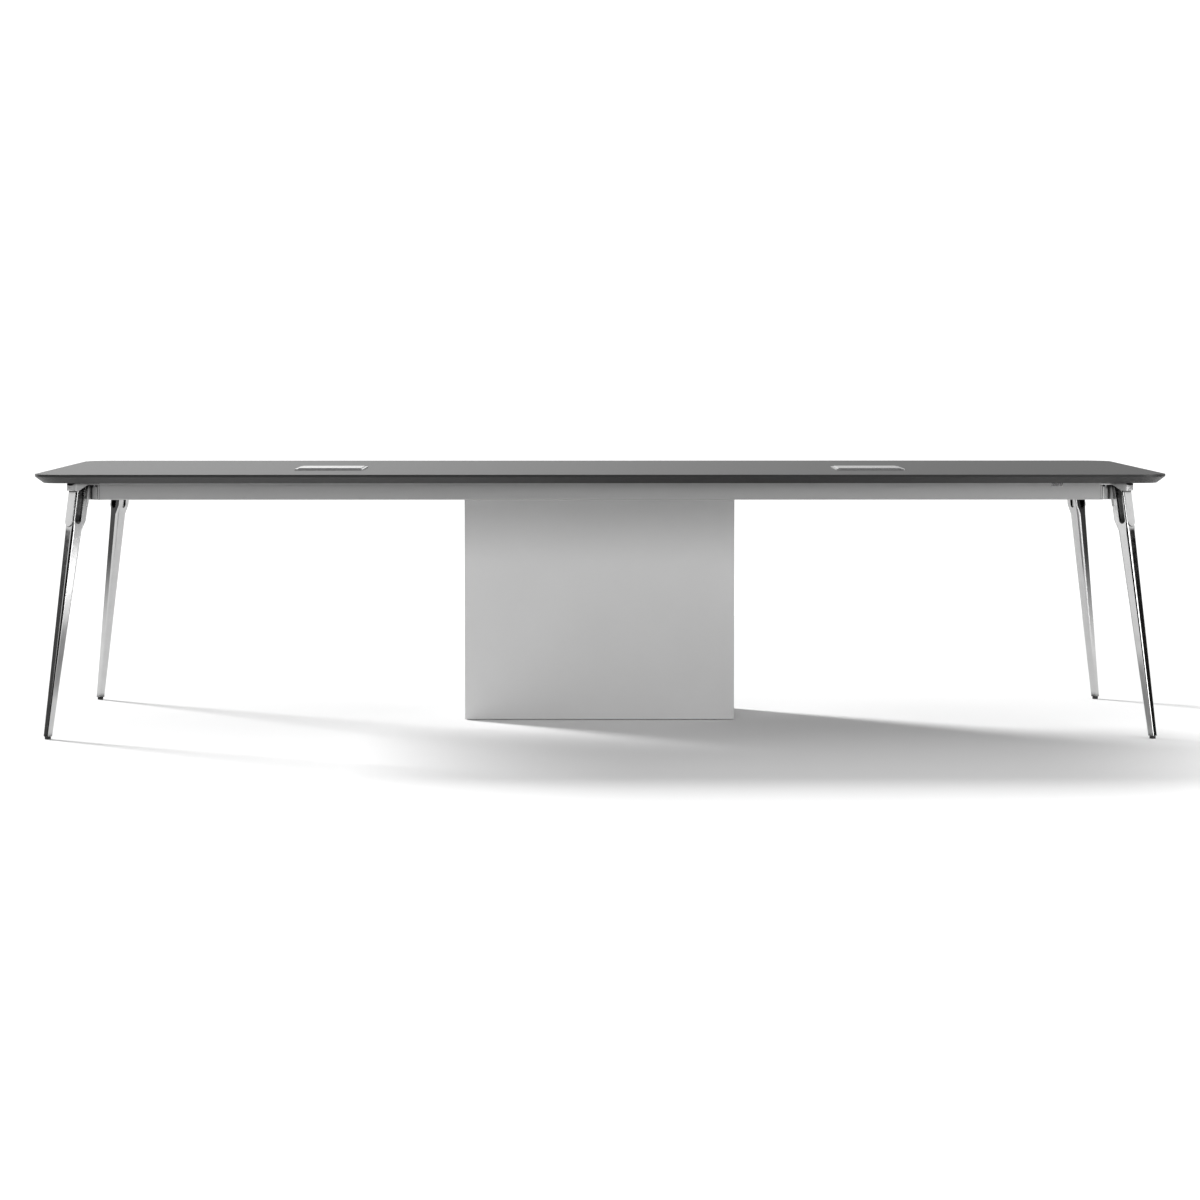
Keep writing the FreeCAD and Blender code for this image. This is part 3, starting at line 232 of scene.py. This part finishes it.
def cabinet_lacquer():
    """Light grey lacquer, satin, with a barely visible roller texture."""
    finish = Finish("cabinet_lacquer", grey(0.62), roughness=0.38)
    finish.tint(finish.noise(scale=5, detail=4), change=0.015)
    finish.gloss(finish.noise(scale=30, detail=3), change=0.04)
    return finish.bump(finish.noise(scale=420, detail=2), height=0.04 * MM, strength=0.2)


def box_aluminium():
    """Aluminium brushed along the table."""
    finish = Finish("box_aluminium", grey(0.60), roughness=0.30, metallic=0.75)
    hairlines = finish.noise(scale=90, detail=3, stretch=(1, 60, 60))
    finish.tint(hairlines, change=0.06)
    finish.gloss(hairlines, change=0.06)
    return finish.bump(hairlines, height=0.02 * MM, strength=0.3)


def zinc_steel():
    """Plated fasteners, faintly blotched."""
    finish = Finish("zinc_steel", grey(0.55, -0.02), roughness=0.34, metallic=1.0)
    finish.tint(finish.noise(scale=160, detail=4), change=0.12)
    return finish.gloss(finish.noise(scale=80, detail=3), change=0.08)


def clip_steel():
    """Bright steel of the small strap on the front rail."""
    finish = Finish("clip_steel", grey(0.70), roughness=0.18, metallic=1.0)
    finish.tint(finish.noise(scale=300, detail=3), change=0.05)
    return finish.gloss(finish.noise(scale=200, detail=3), change=0.05)


def sheet_steel():
    """Black powder coat on folded sheet, finely pebbled."""
    finish = Finish("sheet_steel", grey(0.020), roughness=0.5)
    pebble = finish.noise(scale=1100, detail=2)
    finish.tint(pebble, change=0.25)
    return finish.bump(pebble, height=0.04 * MM, strength=0.4)


def glide_plastic():
    """Black moulded plastic with a fine grain."""
    finish = Finish("glide_plastic", grey(0.012), roughness=0.45)
    finish.tint(finish.noise(scale=200, detail=2), change=0.2)
    return finish.bump(finish.noise(scale=900, detail=2), height=0.03 * MM, strength=0.3)


def bristle():
    """Black nylon, a little lighter or darker from place to place."""
    finish = Finish("bristle", grey(0.015), roughness=0.5)
    return finish.tint(finish.noise(scale=1200, detail=1), change=0.35)


MAKERS = (top_laminate, rail_paint, polished_cast, satin_cast, cabinet_lacquer, box_aluminium,
          zinc_steel, clip_steel, sheet_steel, glide_plastic, bristle)
FINISHES = {make.__name__: make().material for make in MAKERS}
SLOT_OF = {part["node"]: part["material_slot"] for part in frame["record"]["subparts"]}


def finish_of(node):
    """Satin for the corner castings, and for every other node the finish of its slot."""
    return FINISHES["satin_cast" if node.startswith("corner_casting") else SLOT_OF[node]]


# Pieces


def dress(item, material):
    """Give an object one material."""
    item.data.materials.clear()
    item.data.materials.append(material)


# Edge radius of each CAD node that is shown with rounded edges
EASED = {"tabletop": 0.6 * MM}
for corner in CORNERS:
    EASED[f"leg_{corner}"] = 1.2 * MM
    EASED[f"corner_casting_{corner}"] = 1.0 * MM
for side in SIDES:
    EASED[f"cable_box_frame_{side}"] = 0.5 * MM
    EASED[f"cable_box_lid_{side}"] = 0.5 * MM
    EASED[f"cabinet_side_{side}"] = 1.0 * MM
for place in ("front", "rear"):
    EASED[f"cabinet_{place}_panel"] = 1.0 * MM
EASED["rail_clip"] = 0.4 * MM

# Corners within this distance and faces within this angle become one; edges above the next angle
# are rounded, and above the last one stay sharp in the shading
WELD_WITHIN = 0.01 * MM
FLAT_WITHIN = math.radians(0.5)
ROUND_ABOVE = math.radians(28)
SHARP_ABOVE = math.radians(35)


def simplified(node):
    """Copy of a CAD node's mesh with its corners welded and each flat face in one piece."""
    mesh = frame["nodes"][node].data.copy()
    mesh.name = f"{node}_eased"
    work = bmesh.new()
    work.from_mesh(mesh)
    bmesh.ops.remove_doubles(work, verts=work.verts, dist=WELD_WITHIN)
    bmesh.ops.dissolve_limit(work, angle_limit=FLAT_WITHIN, verts=work.verts, edges=work.edges)
    work.to_mesh(mesh)
    work.free()
    return mesh


def eased(node, radius):
    """Stand-in for a CAD node with its sharp edges rounded, so that they catch the light."""
    piece = bpy.data.objects.new(f"{node}_eased", simplified(node))
    scene.collection.objects.link(piece)
    bpy.context.view_layer.objects.active = piece
    piece.select_set(True)
    bevel = piece.modifiers.new("Eased edges", "BEVEL")
    bevel.width = radius
    bevel.segments = 2
    bevel.limit_method = "ANGLE"
    bevel.angle_limit = ROUND_ABOVE
    bpy.ops.object.modifier_apply(modifier=bevel.name)
    for face in piece.data.polygons:
        face.use_smooth = True
    piece.data.set_sharp_from_angle(angle=SHARP_ABOVE)
    weighted = piece.modifiers.new("Flat faces stay flat", "WEIGHTED_NORMAL")
    weighted.keep_sharp = True
    bpy.ops.object.modifier_apply(modifier=weighted.name)
    piece.select_set(False)
    dress(piece, finish_of(node))
    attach(piece, frame["nodes"][node]["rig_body"])
    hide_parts(node)


# Brush: a holder at the rim's front bar and the rows of bristles in it
HOLDER_DEPTH = 6 * MM
HOLDER_HEIGHT = 4 * MM
BRISTLE_ROWS = 4
LOWEST_ROW = 0.3 * HOLDER_HEIGHT
ROW_STEP = 0.2 * HOLDER_HEIGHT
ROOT_DEPTH = 0.8 * HOLDER_DEPTH
ROOT_SPACING = 0.9 * MM
ROOT_SCATTER = 0.2 * ROOT_SPACING
BRISTLE_THICK = 0.35 * MM
TIP_THICK = 0.5 * BRISTLE_THICK

# Least and most that a tip stops short of the lid's edge, rises, as a share of the height left
# above its root, and leans to a side
TIP_SHORT = (0.2 * MM, 3 * MM)
TIP_RISE = (0.25, 0.85)
TIP_LEAN = (-1.5 * MM, 1.5 * MM)


def block(work, low, high):
    """Add a box between two opposite corners."""
    middle = (low + high) / 2
    for vertex in bmesh.ops.create_cube(work, size=1)["verts"]:
        vertex.co = middle + vertex.co * (high - low)


def bristle_bar(work, root, tip):
    """Add a square bristle that tapers towards its tip."""
    corners = []
    for end, width in ((root, BRISTLE_THICK), (tip, TIP_THICK)):
        for dx, dz in ((0, 0), (1, 0), (1, 1), (0, 1)):
            corners.append(work.verts.new(end + Vector((dx * width, 0, dz * width))))
    at_root, at_tip = corners[:4], corners[4:]
    work.faces.new(at_root)
    work.faces.new(reversed(at_tip))
    for one in range(4):
        other = (one + 1) % 4
        work.faces.new((at_root[other], at_root[one], at_tip[one], at_tip[other]))


def brush(side):
    """Rows of bristles that reach from a holder at the rim's front bar to the lid's edge."""
    node = f"brush_strip_{side}"
    low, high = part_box(node)
    work = bmesh.new()
    block(work, low, Vector((high.x, low.y + HOLDER_DEPTH, low.z + HOLDER_HEIGHT)))
    for row in range(BRISTLE_ROWS):
        level = low.z + LOWEST_ROW + row * ROW_STEP
        for index in range(int((high.x - low.x) / ROOT_SPACING)):
            x = low.x + ROOT_SPACING * (index + 0.5) + random.uniform(-ROOT_SCATTER, ROOT_SCATTER)
            tip_y = high.y - random.uniform(*TIP_SHORT)
            tip_z = min(level + (high.z - level) * random.uniform(*TIP_RISE), high.z - BRISTLE_THICK)
            tip_x = min(max(x + random.uniform(*TIP_LEAN), low.x), high.x - BRISTLE_THICK)
            bristle_bar(work, Vector((x, low.y + ROOT_DEPTH, level)), Vector((tip_x, tip_y, tip_z)))
    mesh = bpy.data.meshes.new(f"brush_{side}")
    work.to_mesh(mesh)
    work.free()
    piece = bpy.data.objects.new(f"brush_{side}", mesh)
    scene.collection.objects.link(piece)
    dress(piece, FINISHES["bristle"])
    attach(piece, frame["nodes"][node]["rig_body"])
    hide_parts(node)


for node_name, node_item in frame["nodes"].items():
    dress(node_item, finish_of(node_name))
for node_name, radius in EASED.items():
    eased(node_name, radius)
for side in SIDES:
    brush(side)


# Studio

TABLE_MIDDLE = (0, 0, 0.4)
FLOOR_HALF_WIDTH = 14
FLOOR_NEAR = -6.5
FLOOR_FAR = 4


def floor_finish():
    """White floor. To mirror rays only, its colour is painted dark beside the table and behind it, so the
    legs reflect a dark room at both sides.
    """
    finish = Finish("studio_floor", grey(0.93), roughness=0.9, Specular_IOR_Level=0.0)
    finish.tint(finish.noise(scale=2, detail=2), change=0.004)
    tree = finish.tree
    split = tree.nodes.new("ShaderNodeSeparateXYZ")
    tree.links.new(finish.coords.outputs["Object"], split.inputs["Vector"])
    across = tree.nodes.new("ShaderNodeMath")
    across.operation = "ABSOLUTE"
    tree.links.new(split.outputs["X"], across.inputs[0])
    mirrored = tree.nodes.new("ShaderNodeLightPath").outputs["Is Glossy Ray"]
    beside = ramped(tree, across.outputs["Value"], start=2.7, end=8)
    behind = ramped(tree, split.outputs["Y"], start=-1.2, end=0.8)
    return finish.fade_to(grey(0.08), joined(tree, "MULTIPLY", mirrored, beside, behind))


def floor():
    """One flat sheet under the table."""
    mesh = bpy.data.meshes.new("studio_floor")
    corners = [(-FLOOR_HALF_WIDTH, FLOOR_NEAR, 0), (FLOOR_HALF_WIDTH, FLOOR_NEAR, 0),
               (FLOOR_HALF_WIDTH, FLOOR_FAR, 0), (-FLOOR_HALF_WIDTH, FLOOR_FAR, 0)]
    mesh.from_pydata(corners, [], [(0, 1, 2, 3)])
    mesh.materials.append(floor_finish().material)
    piece = bpy.data.objects.new("studio_floor", mesh)
    scene.collection.objects.link(piece)


def soft_light(name, shape, width, height, watts, place, target, mirrored):
    """Area light that faces a target; one that isn't mirrored stays out of the polished legs."""
    lamp = bpy.data.lights.new(name, "AREA")
    lamp.shape = shape
    lamp.size = width
    lamp.size_y = height
    lamp.energy = watts
    item = bpy.data.objects.new(name, lamp)
    item.location = place
    item.rotation_euler = (Vector(target) - Vector(place)).to_track_quat("-Z", "Y").to_euler()
    item.visible_glossy = mirrored
    item.visible_camera = False
    scene.collection.objects.link(item)
    return item


def spare(lamp, nodes):
    """Keep a lamp's direct light off some pieces, which still cast their shadows."""
    spared = bpy.data.collections.new(f"{lamp.name}_spares")
    for node in nodes:
        spared.objects.link(bpy.data.objects[f"{node}_eased"])
    lamp.light_linking.receiver_collection = spared
    for entry in spared.collection_objects:
        entry.light_linking.link_state = "EXCLUDE"


def floor_spot():
    """Light straight down that thins out the table's shadow at the right."""
    lamp = bpy.data.lights.new("floor_spot", "SPOT")
    lamp.energy = 480
    lamp.spot_size = math.radians(62)
    lamp.spot_blend = 0.3
    lamp.shadow_soft_size = 0.4
    item = bpy.data.objects.new("floor_spot", lamp)
    item.location = (3.55, -1.3, 3.5)
    item.visible_glossy = False
    scene.collection.objects.link(item)


def lights():
    """Key from behind on the left, box near the right end, wide fill on the viewer's side, floor spot."""
    key = soft_light("key", "DISK", width=9.0, height=9.0, watts=26500,
                     place=(-27.5, 24.2, 16.4), target=TABLE_MIDDLE, mirrored=False)
    spare(key, ("cabinet_front_panel", "cabinet_rear_panel", "cabinet_side_left"))
    soft_light("right_box", "RECTANGLE", width=2.5, height=2.0, watts=80,
               place=(4.1, -3.6, 1.2), target=(1.2, 0, 0.6), mirrored=True)
    soft_light("fill", "RECTANGLE", width=7, height=3, watts=265,
               place=(-2, -9, 3.0), target=TABLE_MIDDLE, mirrored=False)
    floor_spot()


def surround():
    """Room around the floor, plain white to the camera. To everything else it is bright behind, more so
    at left, bright past both ends, half bright overhead and nearly dark on the viewer's side."""
    world = bpy.data.worlds.new("surround")
    world.use_nodes = True
    scene.world = world
    tree = world.node_tree
    coords = tree.nodes.new("ShaderNodeTexCoord")
    split = tree.nodes.new("ShaderNodeSeparateXYZ")
    tree.links.new(coords.outputs["Generated"], split.inputs["Vector"])
    x, y, z = (split.outputs[axis] for axis in "XYZ")
    ray = tree.nodes.new("ShaderNodeLightPath").outputs

    rear = ramped(tree, y, start=0.2, end=0.6)
    more_at_left = ramped(tree, x, start=-0.15, end=0.15, low=1.36, high=0.52)
    less_on_matte = ramped(tree, ray["Is Diffuse Ray"], start=0, end=1, low=1.0, high=0.45, kind="LINEAR")
    behind = joined(tree, "MULTIPLY", rear, more_at_left, less_on_matte)
    overhead = ramped(tree, z, start=0.55, end=0.9, high=0.48)
    nearly_dark = ramped(tree, x, start=-0.95, end=-0.4, low=0.09, high=0.015)
    left_end = ramped(tree, x, start=-0.9, end=-0.8, low=1.0, high=0.0)
    right_end = ramped(tree, x, start=0.8, end=0.9)
    above_skirting = ramped(tree, z, start=0.128, end=0.14, high=1.2)
    past_ends = joined(tree, "MULTIPLY", joined(tree, "ADD", left_end, right_end), above_skirting)

    seen = tree.nodes.new("ShaderNodeMix")
    tree.links.new(ray["Is Camera Ray"], seen.inputs["Factor"])
    tree.links.new(joined(tree, "MAXIMUM", behind, overhead, nearly_dark, past_ends), seen.inputs["A"])
    seen.inputs["B"].default_value = 1.2
    background = tree.nodes["Background"]
    background.inputs["Color"].default_value = (1, 1, 1, 1)
    tree.links.new(seen.outputs["Result"], background.inputs["Strength"])


def camera():
    """Long-lens view from a seated viewer's height, a little left of the middle."""
    tilt_down = 0.0720
    turn_right = 0.0067
    lens = bpy.data.cameras.new("camera")
    lens.sensor_width = 36
    lens.lens = 107.85
    lens.clip_end = 200
    item = bpy.data.objects.new("camera", lens)
    item.location = (-0.070, -10.70, 1.1255)
    item.rotation_euler = (math.pi / 2 - tilt_down, 0, -turn_right)
    scene.collection.objects.link(item)
    scene.camera = item


floor()
lights()
surround()
camera()
